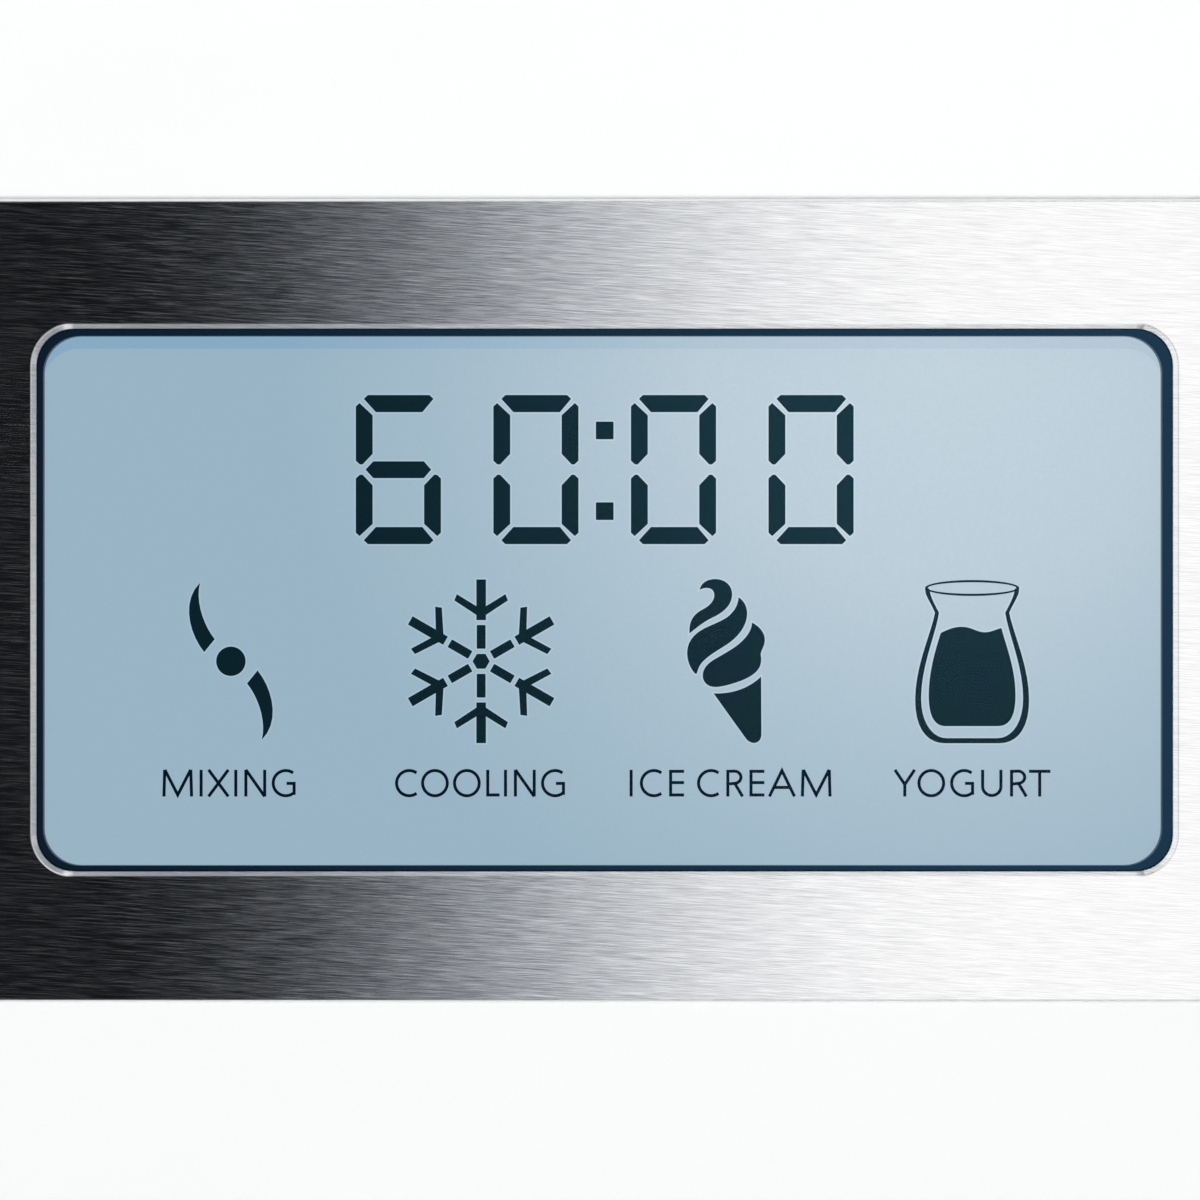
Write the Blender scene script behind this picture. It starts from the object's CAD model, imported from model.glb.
import math

import bmesh
import bpy
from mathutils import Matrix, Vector
from mathutils.geometry import tessellate_polygon


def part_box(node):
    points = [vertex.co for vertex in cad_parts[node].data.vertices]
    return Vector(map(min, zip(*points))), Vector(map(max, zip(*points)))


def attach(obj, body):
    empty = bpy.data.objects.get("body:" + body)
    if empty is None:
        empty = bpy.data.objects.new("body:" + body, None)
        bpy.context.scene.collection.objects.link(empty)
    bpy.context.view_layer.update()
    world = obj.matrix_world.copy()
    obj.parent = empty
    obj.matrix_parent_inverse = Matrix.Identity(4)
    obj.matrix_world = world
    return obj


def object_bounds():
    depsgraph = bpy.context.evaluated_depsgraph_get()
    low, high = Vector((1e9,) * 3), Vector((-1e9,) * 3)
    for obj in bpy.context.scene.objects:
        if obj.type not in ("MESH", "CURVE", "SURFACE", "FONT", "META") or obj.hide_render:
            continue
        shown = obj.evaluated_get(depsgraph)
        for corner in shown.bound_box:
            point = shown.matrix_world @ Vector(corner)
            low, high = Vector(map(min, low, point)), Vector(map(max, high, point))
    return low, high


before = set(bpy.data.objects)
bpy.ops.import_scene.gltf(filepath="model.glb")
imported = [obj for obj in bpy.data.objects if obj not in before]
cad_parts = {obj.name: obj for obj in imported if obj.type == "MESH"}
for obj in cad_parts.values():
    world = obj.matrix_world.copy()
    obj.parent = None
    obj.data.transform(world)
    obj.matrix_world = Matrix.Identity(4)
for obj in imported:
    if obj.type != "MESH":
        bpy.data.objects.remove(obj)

CAD_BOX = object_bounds()
MM = 0.001


# ---------- places that come from the frame ----------

def middle(node):
    low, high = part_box(node)
    return (low + high) / 2


STEEL_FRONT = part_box("front_fascia")[0].y
LCD_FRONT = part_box("lcd_panel")[0].y
DISPLAY = middle("display_window")
WELL = middle("cooling_well")
KNOB = middle("selector_knob")

FRAME_W = 84 * MM       # how much of the front the picture takes in
DISTANCE = 0.35         # from the camera to the steel, in metres
ASIDE = 0.33            # the camera stands this far left of the display's middle, in mm


# ---------- node materials ----------

class Shader:
    """A procedural material whose pattern is fixed to the object's own coordinates."""

    def __init__(self, name, colour, roughness, metallic=0.0):
        self.material = bpy.data.materials.new(name)
        self.material.use_nodes = True
        self.tree = self.material.node_tree
        self.bsdf = self.tree.nodes["Principled BSDF"]
        self.bsdf.inputs["Base Color"].default_value = (*colour, 1)
        self.bsdf.inputs["Roughness"].default_value = roughness
        self.bsdf.inputs["Metallic"].default_value = metallic
        self.place = self.node("ShaderNodeTexCoord").outputs["Object"]
        self.normal = None

    def node(self, kind, **settings):
        made = self.tree.nodes.new(kind)
        for key, value in settings.items():
            setattr(made, key, value)
        return made

    def join(self, source, target):
        self.tree.links.new(source, target)

    def set(self, **sockets):
        for key, value in sockets.items():
            self.bsdf.inputs[key.replace("_", " ")].default_value = value
        return self

    def stretched(self, scale, turn=(0, 0, 0)):
        """Coordinates that are turned first and stretched after."""
        vector = self.place
        for key, value in (("Rotation", turn), ("Scale", scale)):
            mapping = self.node("ShaderNodeMapping")
            mapping.inputs[key].default_value = value
            self.join(vector, mapping.inputs["Vector"])
            vector = mapping.outputs["Vector"]
        return vector

    def around(self, centre, axis):
        """Coordinates (radius, angle, height) about an axis, for turned and spun surfaces."""
        shift = self.node("ShaderNodeVectorMath", operation="SUBTRACT")
        shift.inputs[1].default_value = centre
        self.join(self.place, shift.inputs[0])
        split = self.node("ShaderNodeSeparateXYZ")
        self.join(shift.outputs[0], split.inputs[0])
        first, second, along = {"Z": (0, 1, 2), "Y": (0, 2, 1)}[axis]
        angle = self.node("ShaderNodeMath", operation="ARCTAN2")
        self.join(split.outputs[second], angle.inputs[0])
        self.join(split.outputs[first], angle.inputs[1])
        flat = self.node("ShaderNodeCombineXYZ")
        self.join(split.outputs[first], flat.inputs[0])
        self.join(split.outputs[second], flat.inputs[1])
        radius = self.node("ShaderNodeVectorMath", operation="LENGTH")
        self.join(flat.outputs[0], radius.inputs[0])
        polar = self.node("ShaderNodeCombineXYZ")
        self.join(radius.outputs["Value"], polar.inputs[0])
        self.join(angle.outputs[0], polar.inputs[1])
        self.join(split.outputs[along], polar.inputs[2])
        return polar.outputs[0]

    def noise(self, vector, scale, detail=3.0, roughness=0.5):
        made = self.node("ShaderNodeTexNoise")
        made.inputs["Scale"].default_value = scale
        made.inputs["Detail"].default_value = detail
        made.inputs["Roughness"].default_value = roughness
        self.join(vector, made.inputs["Vector"])
        return made.outputs["Fac"]

    def span(self, value, low, high, start=0.3, end=0.7):
        made = self.node("ShaderNodeMapRange", interpolation_type="SMOOTHSTEP")
        made.inputs["From Min"].default_value = start
        made.inputs["From Max"].default_value = end
        made.inputs["To Min"].default_value = low
        made.inputs["To Max"].default_value = high
        self.join(value, made.inputs["Value"])
        return made.outputs["Result"]

    def blend(self, factor, first, second):
        made = self.node("ShaderNodeMix", data_type="RGBA")
        self.join(factor, made.inputs["Factor"])
        for socket, value in ((made.inputs["A"], first), (made.inputs["B"], second)):
            if isinstance(value, tuple):
                socket.default_value = (*value, 1)
            else:
                self.join(value, socket)
        return made.outputs["Result"]

    def mean(self, first, second, share):
        made = self.node("ShaderNodeMix", data_type="FLOAT")
        made.inputs["Factor"].default_value = 1 - share
        self.join(first, made.inputs["A"])
        self.join(second, made.inputs["B"])
        return made.outputs["Result"]

    def colour(self, source):
        self.join(source, self.bsdf.inputs["Base Color"])
        return self

    def gloss(self, source):
        self.join(source, self.bsdf.inputs["Roughness"])
        return self

    def round_edges(self, radius):
        bevel = self.node("ShaderNodeBevel", samples=4)
        bevel.inputs["Radius"].default_value = radius
        self.normal = bevel.outputs["Normal"]
        self.join(self.normal, self.bsdf.inputs["Normal"])
        return self

    def lean(self, value, amount):
        """Turns the surface a little to the left or right where the value is under or over 0.5."""
        centred = self.node("ShaderNodeMath", operation="MULTIPLY_ADD")
        centred.inputs[1].default_value = amount
        centred.inputs[2].default_value = -amount / 2
        self.join(value, centred.inputs[0])
        aside = self.node("ShaderNodeCombineXYZ")
        self.join(centred.outputs[0], aside.inputs[0])
        added = self.node("ShaderNodeVectorMath", operation="ADD")
        self.join(self.normal, added.inputs[0])
        self.join(aside.outputs[0], added.inputs[1])
        unit = self.node("ShaderNodeVectorMath", operation="NORMALIZE")
        self.join(added.outputs[0], unit.inputs[0])
        self.normal = unit.outputs[0]
        self.join(self.normal, self.bsdf.inputs["Normal"])
        return self

    def bump(self, height, distance, strength=1.0):
        made = self.node("ShaderNodeBump")
        made.inputs["Distance"].default_value = distance
        made.inputs["Strength"].default_value = strength
        self.join(height, made.inputs["Height"])
        if self.normal:
            self.join(self.normal, made.inputs["Normal"])
        self.normal = made.outputs["Normal"]
        self.join(self.normal, self.bsdf.inputs["Normal"])
        return self


def shade(colour, factor):
    return tuple(min(1.0, part * factor) for part in colour)


def moulded(name, colour, roughness, grain=2400, relief=0.02, edge=0.5, vary=0.04):
    """Injection-moulded plastic or rubber: a fine spark-eroded grain and faint flow marks."""
    made = Shader(name, colour, roughness)
    flow = made.noise(made.stretched((1, 1, 2.5)), 22, detail=4)
    made.colour(made.blend(made.span(flow, 0, 1), shade(colour, 1 - vary), shade(colour, 1 + vary)))
    handling = made.noise(made.place, 70, detail=5, roughness=0.6)
    made.gloss(made.span(handling, roughness * 0.86, roughness * 1.16))
    made.round_edges(edge * MM)
    return made.bump(made.noise(made.place, grain, detail=2), relief * MM)


def brushed(name, colour, roughness, scale, fleck=0.1, relief=0.004):
    """Metal brushed in straight lines: scale sets how fine the lines are along each axis."""
    made = Shader(name, colour, roughness, metallic=1.0)
    lines = made.noise(made.stretched(scale), 1, detail=4, roughness=0.7)
    long_lines = made.noise(made.stretched(tuple(part * 0.45 for part in scale)), 1, detail=2)
    dark, pale = shade(colour, 1 - fleck), shade(colour, 1 + fleck)
    tone = made.blend(made.span(lines, 0, 1, 0.25, 0.75), dark, pale)
    worn = made.span(long_lines, 0, 0.5, 0.3, 0.7)
    made.colour(made.blend(worn, tone, shade(colour, 1 - fleck * 0.4)))
    made.gloss(made.span(long_lines, roughness * 0.85, roughness * 1.15))
    return made.bump(lines, relief * MM)


def turned(name, colour, roughness, centre, axis="Z", fineness=2600, relief=0.004, fleck=0.07):
    """Metal turned on a lathe: fine rings about an axis."""
    made = Shader(name, colour, roughness, metallic=1.0)
    polar = made.around(centre, axis)
    stretch = made.node("ShaderNodeMapping")
    stretch.inputs["Scale"].default_value = (fineness, 1.2, fineness)
    made.join(polar, stretch.inputs["Vector"])
    rings = made.noise(stretch.outputs[0], 1, detail=3, roughness=0.65)
    smudge = made.noise(made.place, 45, detail=4)
    dark, pale = shade(colour, 1 - fleck), shade(colour, 1 + fleck)
    made.colour(made.blend(made.span(rings, 0, 1), dark, pale))
    made.gloss(made.span(smudge, roughness * 0.9, roughness * 1.12))
    made.round_edges(0.25 * MM)
    return made.bump(rings, relief * MM)


def cast(name, colour, roughness, metallic=1.0, grain=500, relief=0.05):
    """Rough or plated metal: cast skin, enamel over sheet, drawn tube."""
    made = Shader(name, colour, roughness, metallic=metallic)
    patches = made.noise(made.place, 60, detail=5, roughness=0.6)
    made.colour(made.blend(made.span(patches, 0, 1), shade(colour, 0.86), shade(colour, 1.1)))
    made.gloss(made.span(patches, roughness * 1.15, roughness * 0.85))
    made.round_edges(0.3 * MM)
    return made.bump(made.noise(made.place, grain, detail=3), relief * MM)


def clear(name, tint, roughness, ior=1.49):
    """Clear moulded plastic or glass: faint haze and handling marks."""
    made = Shader(name, tint, roughness).set(IOR=ior, Transmission_Weight=1.0)
    marks = made.noise(made.place, 90, detail=5, roughness=0.65)
    made.gloss(made.span(marks, roughness, roughness * 3 + 0.03, 0.45, 0.8))
    made.colour(made.blend(made.span(marks, 0, 1), tint, shade(tint, 0.985)))
    return made


def foam(name, colour):
    made = Shader(name, colour, 0.85)
    cells = made.node("ShaderNodeTexVoronoi")
    cells.inputs["Scale"].default_value = 900
    made.join(made.place, cells.inputs["Vector"])
    depth = made.span(cells.outputs["Distance"], 0, 1, 0, 0.6)
    made.colour(made.blend(depth, shade(colour, 0.8), colour))
    return made.bump(cells.outputs["Distance"], 0.3 * MM)


def circuit(name, colour):
    """Solder-masked board with a faint grid of tracks."""
    made = Shader(name, colour, 0.35)
    tracks = made.node("ShaderNodeTexBrick")
    tracks.inputs["Scale"].default_value = 260
    tracks.inputs["Mortar Size"].default_value = 0.03
    made.join(made.stretched((1, 1, 1), (math.pi / 2, 0, 0)), tracks.inputs["Vector"])
    made.colour(made.blend(tracks.outputs["Fac"], colour, shade(colour, 1.7)))
    return made.bump(tracks.outputs["Fac"], 0.03 * MM)


WHITE = (0.86, 0.865, 0.86)
BLACK = (0.02, 0.02, 0.022)
COPPER = (0.72, 0.36, 0.22)

MATERIALS = {
    "housing": moulded("housing_white_plastic", WHITE, 0.34, relief=0.008, vary=0.006),
    "base": moulded("base_grey_plastic", (0.09, 0.095, 0.1), 0.5),
    "rubber": moulded("black_rubber", BLACK, 0.75, grain=1500, relief=0.04),
    "seal": moulded("grey_silicone", (0.42, 0.43, 0.44), 0.55, grain=900),
    "grip": moulded("grip_grey_plastic", (0.11, 0.115, 0.12), 0.42, relief=0.03),
    "moulding": moulded("inner_white_plastic", (0.8, 0.8, 0.77), 0.45),
    "nylon": moulded("gear_nylon", (0.78, 0.75, 0.65), 0.4, vary=0.06),
    "paddle": moulded("paddle_white_plastic", (0.82, 0.82, 0.79), 0.3, relief=0.01, edge=0.8),
    "dark_part": moulded("black_plastic", (0.025, 0.025, 0.028), 0.4, relief=0.03),
    "wire": moulded("red_wire_sleeve", (0.35, 0.03, 0.025), 0.5),
    "film": moulded("amber_heater_film", (0.55, 0.27, 0.05), 0.3),
    "foam": foam("insulating_foam", (0.8, 0.74, 0.56)),
    "board": circuit("circuit_board", (0.015, 0.11, 0.05)),
    "aluminium": turned("well_aluminium", (0.82, 0.83, 0.84), 0.32, WELL),
    "bowl": turned("bowl_steel", (0.78, 0.77, 0.76), 0.22, WELL, fineness=1800),
    "trim": turned("trim_steel", (0.8, 0.8, 0.81), 0.16, WELL),
    "fins": brushed("condenser_aluminium", (0.78, 0.79, 0.8), 0.35, (60, 3000, 60)),
    "handle": brushed("handle_steel", (0.66, 0.66, 0.67), 0.28, (60, 3000, 3000)),
    "copper": cast("copper_tube", COPPER, 0.3, relief=0.02),
    "bronze": cast("bush_bronze", (0.6, 0.4, 0.16), 0.4),
    "alloy": cast("die_cast_alloy", (0.5, 0.51, 0.53), 0.5),
    "zinc": cast("zinc_plate", (0.62, 0.64, 0.66), 0.36, relief=0.02),
    "enamel": cast("black_enamel", (0.018, 0.018, 0.02), 0.32, metallic=0.0),
    "bright": cast("bright_steel", (0.7, 0.7, 0.72), 0.24, relief=0.01),
    "knob": turned("knob_aluminium", (0.68, 0.685, 0.7), 0.26, KNOB, "Y"),
    "lid_pane": clear("lid_clear_plastic", (0.93, 0.96, 0.97), 0.03),
}

KEY_METAL = (0.76, 0.765, 0.78)
for key in ("power", "mode", "start"):
    MATERIALS[key] = turned(key + "_key_metal", KEY_METAL, 0.26, middle(key + "_key"), "Y")


# Streaks in the brushed steel: cells of noise in a metre along X, Y and Z
FINE_STREAKS, LONG_STREAKS, SCUFFS = (430, 1, 25000), (170, 1, 18000), (330, 1, 17000)
BRUSH_SLOPE = -3.2      # degrees: down to the right


def fascia_steel():
    """Stainless sheet, brushed from side to side."""
    base = (0.87, 0.87, 0.875)
    made = Shader("fascia_brushed_steel", base, 0.16, metallic=1.0).set(Anisotropic=1.0)
    slope = (0, math.radians(BRUSH_SLOPE), 0)
    fine = made.noise(made.stretched(FINE_STREAKS, slope), 1, detail=2, roughness=0.6)
    coarse = made.noise(made.stretched(LONG_STREAKS, slope), 1, detail=2, roughness=0.6)
    lines = made.mean(fine, coarse, 0.7)
    made.colour(made.blend(made.span(lines, 0, 1), shade(base, 0.86), shade(base, 1.09)))
    scuff = made.noise(made.stretched(SCUFFS, slope), 1, detail=2, roughness=0.7)
    made.gloss(made.span(scuff, 0.08, 0.25, 0.35, 0.7))
    # The tangent points up, so that reflections smear across the brushing
    tangent = made.node("ShaderNodeCombineXYZ")
    tangent.inputs[2].default_value = 1.0
    made.join(tangent.outputs[0], made.bsdf.inputs["Tangent"])
    made.round_edges(0.16 * MM)
    made.lean(made.mean(fine, coarse, 0.65), 0.055)
    return made.bump(lines, 0.0012 * MM)


# How much the window reflects: head on, what a grazing look adds, and how late that sets in
LENS_HEAD_ON, LENS_GRAZING, LENS_POWER = 0.003, 0.5, 4


def lens():
    """Hard-coated clear window that lets the display through, with a weak surface reflection."""
    made = Shader("display_lens", (1, 1, 1), 0.04).set(IOR=1.3, Transmission_Weight=1.0)
    wear = made.noise(made.place, 300, detail=4)
    made.gloss(made.span(wear, 0.02, 0.05))
    tree, output = made.tree, made.tree.nodes["Material Output"]
    pass_through = made.node("ShaderNodeBsdfTransparent")
    surface = made.node("ShaderNodeBsdfGlossy")
    surface.inputs["Roughness"].default_value = 0.05
    facing = made.node("ShaderNodeLayerWeight")
    facing.inputs["Blend"].default_value = 0.5
    steep = made.node("ShaderNodeMath", operation="POWER")
    steep.inputs[1].default_value = LENS_POWER
    share = made.node("ShaderNodeMath", operation="MULTIPLY_ADD")
    share.inputs[1].default_value, share.inputs[2].default_value = LENS_GRAZING, LENS_HEAD_ON
    made.join(facing.outputs["Facing"], steep.inputs[0])
    made.join(steep.outputs[0], share.inputs[0])
    mixed = made.node("ShaderNodeMixShader")
    tree.links.new(share.outputs[0], mixed.inputs[0])
    tree.links.new(pass_through.outputs[0], mixed.inputs[1])
    tree.links.new(surface.outputs[0], mixed.inputs[2])
    tree.links.new(mixed.outputs[0], output.inputs["Surface"])
    return made


BEZEL_LEFT, BEZEL_RIGHT = (0.0019, 0.0095, 0.0216), (0.0074, 0.0304, 0.0623)
BEZEL_REACH = 40 * MM   # from the middle to where each of these colours is reached


def bezel_plastic():
    """Dark blue moulding, deeper on the left."""
    made = moulded("bezel_dark_blue", (0.004, 0.0125, 0.03), 0.3, relief=0.004, edge=0.1, vary=0.1)
    made.set(Specular_IOR_Level=0.07)
    split = made.node("ShaderNodeSeparateXYZ")
    made.join(made.place, split.inputs[0])
    across = made.span(split.outputs["X"], 0, 1, -BEZEL_REACH, BEZEL_REACH)
    made.colour(made.blend(across, BEZEL_LEFT, BEZEL_RIGHT))
    return made


MATERIALS["fascia"] = fascia_steel()
MATERIALS["bezel"] = bezel_plastic()
MATERIALS["lens"] = lens()

NODE_MATERIALS = {
    "housing": ["left_shell", "right_shell", "front_lower_panel", "rear_panel", "top_cover",
                "lid_frame"],
    "base": ["base_plate"],
    "rubber": ["rubber_feet", "compressor_grommets", "shaft_seal"],
    "seal": ["lid_seal"],
    "grip": ["bowl_grips", "rear_spacers"],
    "moulding": ["lcd_holder", "encoder_slider"],
    "nylon": ["output_gear", "idler_gear"],
    "paddle": ["paddle"],
    "dark_part": ["fan_shroud", "fan_motor", "fan_impeller", "power_inlet", "tact_switches",
                  "temperature_sensor"],
    "wire": ["wire_harness"],
    "film": ["heater_band"],
    "bezel": ["display_bezel"],
    "foam": ["well_insulation"],
    "board": ["control_board", "power_board"],
    "aluminium": ["cooling_well"],
    "bowl": ["bowl"],
    "trim": ["well_trim_ring"],
    "fins": ["condenser"],
    "handle": ["lid_handle"],
    "copper": ["evaporator_coil", "refrigerant_lines", "filter_drier"],
    "bronze": ["shaft_bushes"],
    "alloy": ["gearbox_housing", "gearbox_cover"],
    "zinc": ["inner_chassis", "motor_case"],
    "enamel": ["compressor"],
    "bright": ["drive_shaft", "motor_rotor", "idler_pin", "encoder_body", "encoder_shaft",
               "cap_hinge_pin", "housing_screws"],
    "knob": ["selector_knob"],
    "power": ["power_key"],
    "mode": ["mode_key"],
    "start": ["start_key"],
    "lid_pane": ["lid_window", "refill_cap"],
    "fascia": ["front_fascia"],
    "lens": ["display_window"],
}


def paint(piece, made):
    piece.data.materials.clear()
    piece.data.materials.append(made.material)


for key, nodes in NODE_MATERIALS.items():
    for node in nodes:
        paint(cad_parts[node], MATERIALS[key])


# ---------- the display's colours ----------

def srgb(red, green, blue):
    """Linear colour from display values of 0 to 255."""
    def linear(part):
        part /= 255
        return part / 12.92 if part <= 0.04045 else ((part + 0.055) / 1.055) ** 2.4
    return (linear(red), linear(green), linear(blue))


LAMP = DISPLAY + Vector((24.2, 0, 18.2)) * MM    # up and to the right of the display's middle
LAMP_NEAR, LAMP_FAR = 2 * MM, 47 * MM
FALL_OFF = ((0.0, 0.0), (0.3, 0.18), (0.53, 0.5), (0.75, 0.78))
GLOW = 0.975


def lit(name, near, far):
    """Back-lit display layer, which fades with the distance from the lamp."""
    made = Shader(name, shade(far, 0.03), 0.5).set(Specular_IOR_Level=0.0)
    lamp = made.node("ShaderNodeVectorMath", operation="DISTANCE")
    lamp.inputs[1].default_value = LAMP
    made.join(made.place, lamp.inputs[0])
    spread = made.span(lamp.outputs["Value"], 0, 1, LAMP_NEAR, LAMP_FAR)
    spread.node.interpolation_type = "LINEAR"
    curve = made.node("ShaderNodeFloatCurve")
    points = curve.mapping.curves[0].points
    for where, value in FALL_OFF:
        points.new(where, value)
    curve.mapping.update()
    made.join(spread, curve.inputs["Value"])
    cell = made.noise(made.place, 5000, detail=1)
    tone = made.blend(curve.outputs["Value"], near, far)
    tone = made.blend(made.span(cell, 0, 0.06), tone, shade(far, 0.8))
    made.join(tone, made.bsdf.inputs["Emission Color"])
    made.bsdf.inputs["Emission Strength"].default_value = GLOW
    return made


def ink(name, colour):
    """Dark liquid-crystal segment, lighter where more light leaks through."""
    made = lit(name, shade(colour, 1.165), shade(colour, 0.5))
    made.bsdf.inputs["Base Color"].default_value = (*shade(colour, 0.05), 1)
    return made


LCD_FACE = lit("lcd_face", srgb(196, 213, 223), srgb(154, 181, 198))
LCD_HALO = lit("lcd_pale_rim", srgb(208, 224, 232), srgb(164, 191, 207))
LCD_EDGE = lit("lcd_shaded_edge", srgb(188, 207, 218), srgb(138, 173, 199))
LCD_INK = ink("lcd_segment", srgb(19, 48, 58))
LCD_TEXT = ink("lcd_lettering", srgb(5, 34, 50))
paint(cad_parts["lcd_panel"], LCD_EDGE)


# ---------- flat shapes on the front, drawn in millimetres ----------

def bezier(p0, p1, p2, p3, count=9):
    """Points along a cubic curve, without its first point."""
    points = []
    for k in range(1, count + 1):
        t = k / count
        weights = ((1 - t) ** 3, 3 * t * (1 - t) ** 2, 3 * t * t * (1 - t), t ** 3)
        parts = list(zip(weights, (p0, p1, p2, p3)))
        points.append(tuple(sum(w * p[i] for w, p in parts) for i in (0, 1)))
    return points


def path(start, *steps):
    """Points of an outline: a step is an end point, or two handles and an end point."""
    points = [start]
    for step in steps:
        if isinstance(step[0], tuple):
            points += bezier(points[-1], *step)
        else:
            points.append(step)
    return points


def arc(cx, cz, rx, rz, start, end, count=24):
    angles = [math.radians(start + (end - start) * k / count) for k in range(count + 1)]
    return [(cx + rx * math.cos(a), cz + rz * math.sin(a)) for a in angles]


def ellipse(cx, cz, rx, rz, count=48):
    return arc(cx, cz, rx, rz, 0, 360, count)[:-1]


def rounded(width, height, radius, cx=0.0, cz=0.0):
    points = []
    for corner, (sx, sz) in enumerate(((1, 1), (-1, 1), (-1, -1), (1, -1))):
        points += arc(cx + sx * (width / 2 - radius), cz + sz * (height / 2 - radius),
                      radius, radius, corner * 90, corner * 90 + 90, 10)
    return points


def mirrored(points):
    """A right half, closed by its mirror image about x = 0."""
    return points + [(-x, z) for x, z in reversed(points)]


def turned_by(points, degrees, dx=0.0, dz=0.0):
    c, s = math.cos(math.radians(degrees)), math.sin(math.radians(degrees))
    return [(x * c - z * s + dx, x * s + z * c + dz) for x, z in points]


MITRE_LIMIT = 0.18      # keeps the mitre of a sharp corner short


def offset_line(points, distance, closed):
    """The line moved sideways, with mitred corners."""
    count = len(points)
    moved = []
    for k, here in enumerate(points):
        before = points[k - 1] if k or closed else None
        after = points[(k + 1) % count] if k < count - 1 or closed else None
        normals = []
        for a, b in ((before, here), (here, after)):
            if a and b:
                dx, dz = b[0] - a[0], b[1] - a[1]
                size = math.hypot(dx, dz)
                normals.append((-dz / size, dx / size))
        nx = sum(n[0] for n in normals) / len(normals)
        nz = sum(n[1] for n in normals) / len(normals)
        square = max(nx * nx + nz * nz, MITRE_LIMIT)
        moved.append((here[0] + nx * distance / square, here[1] + nz * distance / square))
    return moved


def stroke(points, width):
    """The outline of a line of the given width, with square ends."""
    left = offset_line(points, width / 2, False)
    right = offset_line(points, -width / 2, False)
    return [left + right[::-1]]


def loop_stroke(points, width):
    """The outer and inner outlines of a closed line."""
    return [offset_line(points, -width / 2, True), offset_line(points, width / 2, True)]


def flat_piece(name, shapes, origin, front, depth, made, body="root"):
    """Thin plates in one piece, facing the front. A shape is an outline and its holes."""
    form = bmesh.new()
    for loops in shapes:
        flat = [[Vector((x, z, 0)) for x, z in loop] for loop in loops]
        triangles = tessellate_polygon(flat)
        rims = [[[form.verts.new((origin.x + point.x * MM, y, origin.z + point.y * MM))
                  for point in loop] for loop in flat] for y in (front, front + depth)]
        for rim in rims:
            corners = [corner for loop in rim for corner in loop]
            for a, b, c in triangles:
                form.faces.new((corners[a], corners[b], corners[c]))
        for near, far in zip(*rims):
            for k in range(len(near)):
                form.faces.new((near[k - 1], near[k], far[k], far[k - 1]))
    bmesh.ops.recalc_face_normals(form, faces=form.faces)
    return finished(name, form, made, body)


def finished(name, form, made, body):
    mesh = bpy.data.meshes.new(name)
    form.to_mesh(mesh)
    form.free()
    piece = bpy.data.objects.new(name, mesh)
    bpy.context.scene.collection.objects.link(piece)
    paint(piece, made)
    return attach(piece, body)


# The display's layers, from the back to the front
FACE_DEPTH, HALO_DEPTH, INK_DEPTH = 0.03 * MM, 0.01 * MM, 0.04 * MM
FACE_FRONT = LCD_FRONT - FACE_DEPTH
HALO_FRONT = FACE_FRONT - HALO_DEPTH
INK_FRONT = HALO_FRONT - INK_DEPTH

# The drawing is measured on the steel but lies behind it, so it is made a little larger
RECESS = (DISTANCE + INK_FRONT - STEEL_FRONT) / DISTANCE


def recessed(loop):
    """The outline enlarged about the camera's axis."""
    return [((x + ASIDE) * RECESS - ASIDE, z * RECESS) for x, z in loop]


def signed_area(loop):
    return sum(a[0] * b[1] - b[0] * a[1] for a, b in zip(loop, loop[1:] + loop[:1])) / 2


HALO_W = 0.11


def on_display(name, shapes, made=LCD_INK, halo=0.0):
    """Ink on the display, and if asked, the pale rim that each inked shape has."""
    shapes = [[recessed(loop) for loop in loops] for loops in shapes]
    flat_piece(name, shapes, DISPLAY, INK_FRONT, INK_DEPTH, made)
    if halo:
        outsides = [loops[0] for loops in shapes]
        rims = [[offset_line(outside, -math.copysign(halo, signed_area(outside)), True)]
                for outside in outsides]
        flat_piece(name + "_rim", rims, DISPLAY, HALO_FRONT, HALO_DEPTH, LCD_HALO)


# The lit face starts a little below the frame, so that a deeper band shows along the top
FACE_W, FACE_H, FACE_R, FACE_ASIDE, FACE_DROP = 79.1, 37.5, 2.7, 0.14, 1.03
flat_piece("lcd_face", [[rounded(FACE_W, FACE_H, FACE_R, -FACE_ASIDE, -FACE_DROP)]], DISPLAY,
           FACE_FRONT, FACE_DEPTH, LCD_FACE)


# ---------- the timer ----------

DIGIT_PITCH, DIGIT_Z = 9.63, 9.13
SEGMENTS = {"0": "abcdef", "6": "acdefg"}
# One digit's bars, round its middle
TOP_BAR = [(-2.42, 4.95), (-2.14, 5.22), (2.18, 5.22), (2.46, 4.95), (1.68, 4.02), (-1.58, 4.02)]
LEFT_BAR = [(-2.98, 4.42), (-2.72, 4.66), (-1.8, 3.8), (-1.8, 1.1), (-2.5, 0.36), (-2.7, 0.36),
            (-2.98, 0.62)]
MIDDLE_BAR = [(-2.3, 0.0), (-1.76, 0.58), (1.78, 0.58), (2.3, 0.0), (1.78, -0.6), (-1.76, -0.6)]


def flipped(points, across, up):
    return [(x * across, z * up) for x, z in points]


BARS = {"a": TOP_BAR, "d": flipped(TOP_BAR, 1, -1), "f": LEFT_BAR, "b": flipped(LEFT_BAR, -1, 1),
        "e": flipped(LEFT_BAR, 1, -1), "c": flipped(LEFT_BAR, -1, -1), "g": MIDDLE_BAR}

for place, digit in enumerate("6000"):
    shift = (place - 1.5) * DIGIT_PITCH
    bars = [[turned_by(BARS[letter], 0, shift, DIGIT_Z)] for letter in SEGMENTS[digit]]
    on_display("timer_digit_%d" % (place + 1), bars, halo=HALO_W)

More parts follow.
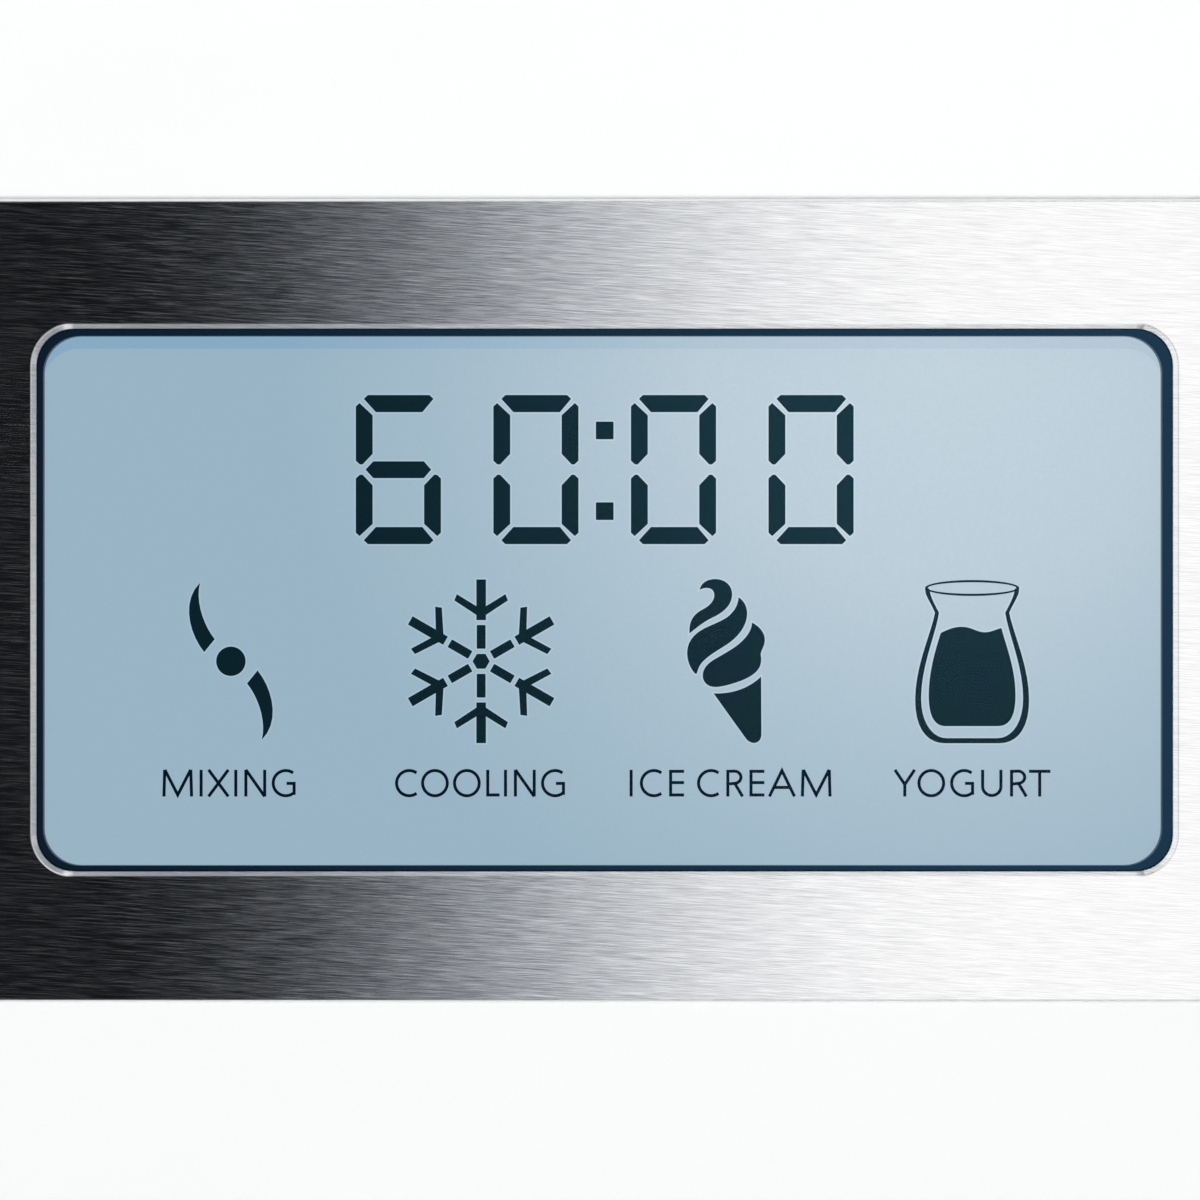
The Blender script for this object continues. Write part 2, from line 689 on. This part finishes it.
COLON_SIZE, COLON_Z = 1.24, (11.87, 6.22)
dots = [[rounded(COLON_SIZE, COLON_SIZE, 0.06, 0, z)] for z in COLON_Z]
on_display("timer_colon", dots, halo=HALO_W)


# ---------- the function icons ----------

ICON_PITCH, ICON_Z = 17.3, -4.29


def icon(name, column, shapes, nudge=0.0, halo=HALO_W):
    """An icon drawn round its own middle, which goes to its column and is nudged sideways."""
    shift = (column - 1.5) * ICON_PITCH + nudge
    placed = [[turned_by(loop, 0, shift, ICON_Z) for loop in loops] for loops in shapes]
    on_display(name, placed, halo=halo)


HUB_R = 1.03
blade = path((-1.87, 0.64), ((-2.9, 1.9), (-3.5, 4.2), (-2.16, 5.5)),
             ((-2.5, 4.2), (-1.9, 2.5), (-1.13, 1.55)))
icon("icon_paddle", 0, [[ellipse(0, 0, HUB_R, HUB_R)], [blade], [turned_by(blade, 180)]],
     nudge=-0.22)

arm = mirrored([(0.335, 2.88), (0.335, 3.24), (1.88, 4.26), (1.7, 4.7), (0.335, 3.86),
                (0.335, 5.73)])
spoke = rounded(0.62, 1.66, 0.06, 0, 1.71)
snow = [[turned_by(shape, k * 60)] for k in range(6) for shape in (arm, spoke)]
icon("icon_snowflake", 1, snow + [[ellipse(0, 0, 0.6, 0.6, 6)]])

swirl_top = path(
    (-1.85, 5.0), ((-1.75, 5.5), (-1.3, 5.76), (-0.75, 5.76)),
    ((-0.05, 5.76), (0.43, 5.3), (0.43, 4.7)), ((0.43, 3.9), (-0.2, 3.4), (-1.0, 3.03)),
    ((-1.6, 2.75), (-2.1, 2.3), (-2.56, 1.95)),
    ((-2.62, 2.9), (-2.2, 3.35), (-1.6, 3.65)), ((-1.1, 3.9), (-0.8, 4.3), (-0.82, 4.65)),
    ((-0.85, 5.25), (-1.5, 5.2), (-1.85, 5.0)))[:-1]
swirl_middle = path(
    (0.88, 4.49), ((1.3, 4.2), (1.48, 3.8), (1.48, 3.35)), ((1.48, 2.5), (0.9, 1.75), (0.1, 1.2)),
    ((-0.5, 0.8), (-1.1, 0.5), (-1.6, 0.0)), ((-1.85, -0.25), (-1.95, -0.55), (-2.05, -0.87)),
    (-2.16, -0.87),
    ((-2.55, -0.45), (-2.72, 0.1), (-2.72, 0.6)), ((-2.72, 1.2), (-2.4, 1.8), (-1.7, 2.2)),
    ((-1.2, 2.5), (-0.4, 2.75), (0.1, 3.1)), ((0.6, 3.5), (0.85, 3.95), (0.88, 4.49)))[:-1]
swirl_base = path(
    (1.82, 2.71), ((2.35, 2.45), (2.72, 2.0), (2.72, 1.5)),
    ((2.72, 1.1), (2.5, 0.85), (2.42, 0.49)),
    ((2.5, 0.2), (2.48, -0.2), (2.3, -0.5)), ((2.0, -1.0), (1.2, -1.35), (0.5, -1.55)),
    ((0.1, -1.68), (-0.4, -1.8), (-0.75, -1.8)), ((-1.3, -1.8), (-1.63, -1.45), (-1.63, -1.0)),
    ((-1.63, -0.5), (-1.3, -0.2), (-0.95, 0.05)), ((-0.3, 0.45), (0.5, 0.85), (1.0, 1.3)),
    ((1.5, 1.75), (1.8, 2.2), (1.82, 2.71)))[:-1]
wafer = path((-0.87, -2.25), ((0.4, -2.3), (1.6, -1.9), (2.46, -1.07)), (2.48, -5.1),
             ((2.48, -5.85), (1.7, -5.9), (1.35, -5.35)))
icon("icon_cone", 2, [[swirl_top], [swirl_middle], [swirl_base], [wafer]], nudge=-0.16)

jar_outside = path((3.3, 5.1), (3.26, 4.78), ((3.1, 4.3), (2.85, 4.0), (2.6, 3.4)),
                   ((2.85, 2.0), (3.99, -0.3), (3.99, -2.7)),
                   ((3.99, -4.8), (3.1, -5.74), (1.9, -5.74)))
jar_inside = path((3.0, 5.1), (2.92, 4.72), ((2.8, 4.3), (2.6, 3.95), (2.32, 3.4)),
                  ((2.5, 2.0), (3.57, -0.3), (3.57, -2.6)),
                  ((3.57, -4.4), (2.7, -5.38), (1.8, -5.38)))
jar_wall = (flipped(jar_outside, -1, 1) + jar_outside[::-1]
            + jar_inside + flipped(jar_inside, -1, 1)[::-1])
milk = path((-2.2, 1.98), ((-1.7, 2.25), (-1.2, 2.42), (-0.75, 2.42)),
            ((0.0, 2.42), (0.3, 2.03), (0.9, 2.03)), ((1.3, 2.03), (1.7, 2.25), (2.05, 2.33)),
            ((2.4, 1.0), (3.04, -0.5), (3.04, -2.4)), ((3.04, -3.9), (2.6, -4.54), (1.8, -4.54)),
            (-1.9, -4.54), ((-2.6, -4.54), (-3.04, -3.9), (-3.04, -2.4)),
            ((-3.04, -0.6), (-2.5, 1.0), (-2.2, 1.98)))[:-1]
JAR_NUDGE, MOUTH_Z = -0.23, 5.13
icon("icon_jar", 3, [[milk], [jar_wall]], nudge=JAR_NUDGE)
mouth = [ellipse(0, MOUTH_Z, rx, rz) for rx, rz in ((3.3, 0.56), (3.1, 0.4))]
icon("icon_jar_mouth", 3, [mouth], nudge=JAR_NUDGE, halo=0.0)


# ---------- the words under the icons, drawn with plain strokes ----------

# The capitals' height and their place are in millimetres, and all else is in capitals' heights
CAP_H, LABEL_Z = 1.87, -12.82
LINE_W, SPACE_W = 0.116, 0.2
HALF = LINE_W / 2


def stem(x):
    return [(x, 0), (x, 1)]


def bar(start, end, z):
    return [(start, z), (end, z)]


BOWL_R = 0.25
# Each letter: the space before it, its width, the space after it, and its strokes
GLYPHS = {
    "A": (0.0, 1.04, 0.0, [[(0.05, 0), (0.52, 0.97), (0.99, 0)], bar(0.2, 0.84, 0.34)]),
    "C": (0.06, 0.86, 0.03, [arc(0.53, 0.5, 0.53 - HALF, 0.53 - HALF, 54, 306)]),
    "E": (0.12, 0.56, 0.05, [stem(HALF)] + [bar(LINE_W, 0.56, z) for z in (HALF, 0.52, 1 - HALF)]),
    "G": (0.06, 0.9, 0.1, [arc(0.53, 0.5, 0.53 - HALF, 0.53 - HALF, 54, 312),
                           [(0.9 - HALF, 0.06), (0.9 - HALF, 0.49)], bar(0.56, 0.9, 0.49)]),
    "I": (0.12, LINE_W, 0.12, [stem(HALF)]),
    "L": (0.12, 0.5, 0.03, [stem(HALF), bar(LINE_W, 0.5, HALF)]),
    "M": (0.1, 1.15, 0.1, [[(HALF, 0), (HALF * 1.5, 1)],
                           [(HALF * 1.6, 1), (0.575, 0.06), (1.15 - HALF * 1.6, 1)],
                           [(1.15 - HALF, 0), (1.15 - HALF * 1.5, 1)]]),
    "N": (0.12, 0.82, 0.12, [stem(HALF), stem(0.82 - HALF), [(HALF, 1), (0.82 - HALF, 0)]]),
    "O": (0.07, 1.04, 0.07, [ellipse(0.52, 0.5, 0.52 - HALF, 0.53 - HALF)]),
    "R": (0.12, 0.66, 0.0, [stem(HALF), [(LINE_W, 1 - HALF)]
                            + arc(0.3, 0.97 - BOWL_R, BOWL_R, BOWL_R - 0.02, 90, -90, 14)
                            + [(LINE_W, 0.97 - 2 * BOWL_R)], [(0.33, 0.47), (0.61, 0)]]),
    "T": (0.0, 0.8, 0.0, [bar(0, 0.8, 1 - HALF), [(0.4, 0), (0.4, 1 - LINE_W)]]),
    "U": (0.11, 0.8, 0.11, [[(HALF, 1)] + arc(0.4, 0.37, 0.4 - HALF, 0.39 - HALF, 180, 360, 16)
                            + [(0.8 - HALF, 1)]]),
    "X": (0.02, 0.86, 0.02, [[(0.06, 0), (0.8, 1)], [(0.06, 1), (0.8, 0)]]),
    "Y": (0.0, 0.82, -0.06, [[(0.04, 1), (0.41, 0.45), (0.78, 1)], [(0.41, 0), (0.41, 0.44)]]),
    " ": (0.0, SPACE_W, 0.0, []),
}


def word(name, text, middle_x, width):
    """A word of the given width, centred on its place."""
    advances = [sum(GLYPHS[letter][:3]) for letter in text]
    inked = sum(advances) - GLYPHS[text[0]][0] - GLYPHS[text[-1]][2]
    tracking = (width / CAP_H - inked) / (len(text) - 1)
    pen = (middle_x - width / 2) / CAP_H - GLYPHS[text[0]][0]
    shapes = []
    for letter, advance in zip(text, advances):
        left, lines = pen + GLYPHS[letter][0], GLYPHS[letter][3]
        for line in lines:
            outline = loop_stroke(line, LINE_W) if letter == "O" else stroke(line, LINE_W)
            shapes.append([[((x + left) * CAP_H, (z - 0.5) * CAP_H + LABEL_Z) for x, z in loop]
                           for loop in outline])
        pen += advance + tracking
    on_display(name, shapes, LCD_TEXT)


word("label_mixing", "MIXING", -26.3, 9.33)
word("label_cooling", "COOLING", -8.73, 11.9)
word("label_ice_cream", "ICE CREAM", 8.81, 14.14)
word("label_yogurt", "YOGURT", 25.72, 10.96)


# ---------- small details on the outside ----------

MARK_W, MARK_PROUD, MARK_DEPTH = 0.55, 0.04 * MM, 0.1 * MM


def mark_line(*points):
    return stroke(list(points), MARK_W)


def on_key(name, key, shapes, body):
    """Symbol let into a key's face, a hair proud of it."""
    flat_piece(name, shapes, middle(key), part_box(key)[0].y - MARK_PROUD, MARK_DEPTH,
               MATERIALS["dark_part"], body)


on_key("power_mark", "power_key", [mark_line(*arc(0, 0, 2.5, 2.5, 125, 415)),
                                   mark_line((0, 0.6), (0, 3.3))], "power_button")
on_key("mode_mark", "mode_key", [mark_line((-2.3, z), (2.3, z)) for z in (1.7, 0, -1.7)],
       "mode_button")
on_key("start_mark", "start_key",
       [[[(-2.6, -2.0), (0.3, 0), (-2.6, 2.0)]], mark_line((1.3, -2.0), (1.3, 2.0)),
        mark_line((2.5, -2.0), (2.5, 2.0))], "start_button")

# Ticks round the knob, printed on the steel
KNOB_R = (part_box("selector_knob")[1].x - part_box("selector_knob")[0].x) / 2 / MM
TICKS, TICK_SPAN, TICK_W = 13, 300, 0.35
TICK_START, SHORT_TICK, LONG_TICK = KNOB_R + 2.2, 1.1, 1.9
TICK_PROUD, TICK_DEPTH = 0.03 * MM, 0.05 * MM
ticks = []
for k in range(TICKS):
    length = SHORT_TICK if k % 3 else LONG_TICK
    tick = stroke([(0, TICK_START), (0, TICK_START + length)], TICK_W)
    ticks.append([turned_by(loop, (k / (TICKS - 1) - 0.5) * TICK_SPAN) for loop in tick])
flat_piece("knob_ticks", ticks, KNOB, STEEL_FRONT - TICK_PROUD, TICK_DEPTH,
           MATERIALS["dark_part"])


# White gaskets that fill the narrow gaps above and below the steel
GASKET_SUNK, GASKET_DEPTH = 0.04 * MM, 0.5 * MM
steel_low, steel_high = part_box("front_fascia")
cover_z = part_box("top_cover")[0].z
panel_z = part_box("front_lower_panel")[1].z
half_w = (steel_high.x - steel_low.x) / 2 / MM - 0.1
for name, z0, z1 in (("gasket_above", steel_high.z, max(cover_z, steel_high.z + 0.1 * MM)),
                     ("gasket_below", panel_z, steel_low.z)):
    lowest, highest = (z0 - DISPLAY.z) / MM, (z1 - DISPLAY.z) / MM
    edge = [(-half_w, lowest), (half_w, lowest), (half_w, highest), (-half_w, highest)]
    flat_piece(name, [[edge]], DISPLAY, STEEL_FRONT + GASKET_SUNK, GASKET_DEPTH,
               MATERIALS["housing"])


# ---------- floor, backdrop and light ----------

scene = bpy.context.scene
scene.view_settings.view_transform = "Standard"

SIZE = (CAD_BOX[1] - CAD_BOX[0]).length


def floor():
    """Pale sweep: a floor that curves up to a wall far behind the object."""
    form = bmesh.new()
    front, depth, radius, height, width = (SIZE * part for part in (-8, 5, 2, 9, 48))
    steps = 16
    profile = [(front, 0.0)]
    for k in range(steps + 1):
        angle = math.pi / 2 * k / steps
        profile.append((depth + radius * math.sin(angle), radius * (1 - math.cos(angle))))
    profile.append((depth + radius, height))
    rows = [[form.verts.new((x, y, z)) for x in (-width / 2, width / 2)] for y, z in profile]
    for near, far in zip(rows, rows[1:]):
        form.faces.new((near[0], near[1], far[1], far[0]))
    mesh = bpy.data.meshes.new("floor")
    form.to_mesh(mesh)
    form.free()
    piece = bpy.data.objects.new("floor", mesh)
    scene.collection.objects.link(piece)
    made = Shader("floor_paper", (0.8, 0.8, 0.8), 0.8)
    fibre = made.noise(made.place, 420, detail=4)
    made.colour(made.blend(made.span(fibre, 0, 1), (0.585, 0.59, 0.6), (0.605, 0.61, 0.62)))
    paint(piece, made)
    piece.visible_glossy = False


floor()


def light(name, place, size, power):
    """Soft round lamp, aimed at the middle of the object, that no metal mirrors."""
    data = bpy.data.lights.new(name, "AREA")
    data.shape = "DISK"
    data.size = size
    data.energy = power
    lamp = bpy.data.objects.new(name, data)
    lamp.location = place
    lamp.rotation_euler = (CENTRE - Vector(place)).to_track_quat("-Z", "Y").to_euler()
    lamp.visible_glossy = False
    scene.collection.objects.link(lamp)


CENTRE = (CAD_BOX[0] + CAD_BOX[1]) / 2
light("key_light", (-0.7, -1.7, 1.4), 0.9, 31)
light("fill_light", (1.4, -1.3, 0.7), 1.2, 8)
light("back_light", (0.6, 1.7, 1.4), 1.0, 22)

# What metal and gloss reflect: bright and dark flags by compass direction, in degrees.
# The front is 0 and +X is 90. The steel shows the ramp from -7 to 7 in the main picture.
SKY_STOPS = [(-180, 0.3), (-155, 0.25), (-135, 0.9), (-72, 0.95), (-60, 0.25), (-44, 0.3),
             (-34, 0.8), (-21, 0.55), (-14, 0.13), (-10, 0.014), (-7, 0.007), (-5, 0.006),
             (-4, 0.013), (-3, 0.058), (-2, 0.166), (-1, 0.35), (0, 0.55), (1, 0.745), (2, 0.895),
             (3, 1.0), (4.5, 1.015), (34, 1.0), (52, 0.35), (70, 0.3), (85, 0.42), (105, 0.45),
             (118, 0.9), (150, 0.9), (165, 0.3), (180, 0.3)]
# Straight up and down, the light changes from the left to the right instead
DOME_STOPS = [(-1, 0.95), (-0.125, 0.95), (-0.105, 0.4), (-0.06, 0.46), (0.03, 0.93),
              (0.13, 0.95), (0.2, 0.42), (1, 0.42)]
DOME_FADE = (0.86, 0.97)    # the dome takes over where a direction's own Z passes these
BACKDROP = (0.72, 0.73, 0.745)
GLOSS_LIGHT, SOFT_LIGHT = 1.12, 0.37


def sky():
    """One world for the camera, one for metal and gloss, and an even one for all other light."""
    world = bpy.data.worlds.new("studio")
    scene.world = world
    world.use_nodes = True
    tree = world.node_tree
    tree.nodes.clear()

    def node(kind, **settings):
        made = tree.nodes.new(kind)
        for key, value in settings.items():
            setattr(made, key, value)
        return made

    place = node("ShaderNodeTexCoord")
    split = node("ShaderNodeSeparateXYZ")
    tree.links.new(place.outputs["Generated"], split.inputs[0])
    back = node("ShaderNodeMath", operation="MULTIPLY")
    back.inputs[1].default_value = -1.0
    tree.links.new(split.outputs["Y"], back.inputs[0])
    angle = node("ShaderNodeMath", operation="ARCTAN2")
    tree.links.new(split.outputs["X"], angle.inputs[0])
    tree.links.new(back.outputs[0], angle.inputs[1])

    def ramp(value, end, stops, unit=1.0):
        """Cool greys at the given stops, which run from minus the end to the end."""
        turn = node("ShaderNodeMapRange")
        turn.inputs["From Min"].default_value, turn.inputs["From Max"].default_value = -end, end
        tree.links.new(value, turn.inputs["Value"])
        made = node("ShaderNodeValToRGB")
        marks = made.color_ramp.elements
        for k, (at, grey) in enumerate(stops):
            where = 0.5 + at * unit / end / 2
            mark = marks[k] if k < 2 else marks.new(where)
            mark.position = where
            cool = 1 - grey
            tint = (1 - 0.17 * cool, 1 - 0.08 * cool, 1 + 0.06 * cool)
            mark.color = (*(grey * part for part in tint), 1)
        tree.links.new(turn.outputs["Result"], made.inputs["Fac"])
        return made.outputs["Color"]

    height = node("ShaderNodeMath", operation="ABSOLUTE")
    tree.links.new(split.outputs["Z"], height.inputs[0])
    fade = node("ShaderNodeMapRange", interpolation_type="SMOOTHSTEP")
    fade.inputs["From Min"].default_value, fade.inputs["From Max"].default_value = DOME_FADE
    tree.links.new(height.outputs[0], fade.inputs["Value"])
    dome = node("ShaderNodeMix", data_type="RGBA")
    tree.links.new(fade.outputs["Result"], dome.inputs["Factor"])
    tree.links.new(ramp(angle.outputs[0], math.pi, SKY_STOPS, math.radians(1)), dome.inputs["A"])
    tree.links.new(ramp(split.outputs["X"], 1, DOME_STOPS), dome.inputs["B"])

    def background(strength, colour=None):
        made = node("ShaderNodeBackground")
        made.inputs["Strength"].default_value = strength
        if colour:
            made.inputs["Color"].default_value = (*colour, 1)
        return made

    seen, gloss = background(1, BACKDROP), background(GLOSS_LIGHT)
    soft = background(SOFT_LIGHT, (1, 1, 1))
    tree.links.new(dome.outputs["Result"], gloss.inputs["Color"])
    rays = node("ShaderNodeLightPath")
    for_gloss, for_camera = node("ShaderNodeMixShader"), node("ShaderNodeMixShader")
    tree.links.new(rays.outputs["Is Glossy Ray"], for_gloss.inputs[0])
    tree.links.new(soft.outputs[0], for_gloss.inputs[1])
    tree.links.new(gloss.outputs[0], for_gloss.inputs[2])
    tree.links.new(rays.outputs["Is Camera Ray"], for_camera.inputs[0])
    tree.links.new(for_gloss.outputs[0], for_camera.inputs[1])
    tree.links.new(seen.outputs[0], for_camera.inputs[2])
    output = node("ShaderNodeOutputWorld")
    tree.links.new(for_camera.outputs[0], output.inputs["Surface"])


sky()


# ---------- camera: square on to the display, as in the photograph ----------

camera = bpy.data.cameras.new("camera")
camera.sensor_width = 36
camera.lens = camera.sensor_width * DISTANCE / FRAME_W
camera.clip_start = 0.01
viewer = bpy.data.objects.new("camera", camera)
viewer.location = (DISPLAY.x - ASIDE * MM, STEEL_FRONT - DISTANCE, DISPLAY.z)
viewer.rotation_euler = (math.pi / 2, 0, 0)
scene.collection.objects.link(viewer)
scene.camera = viewer
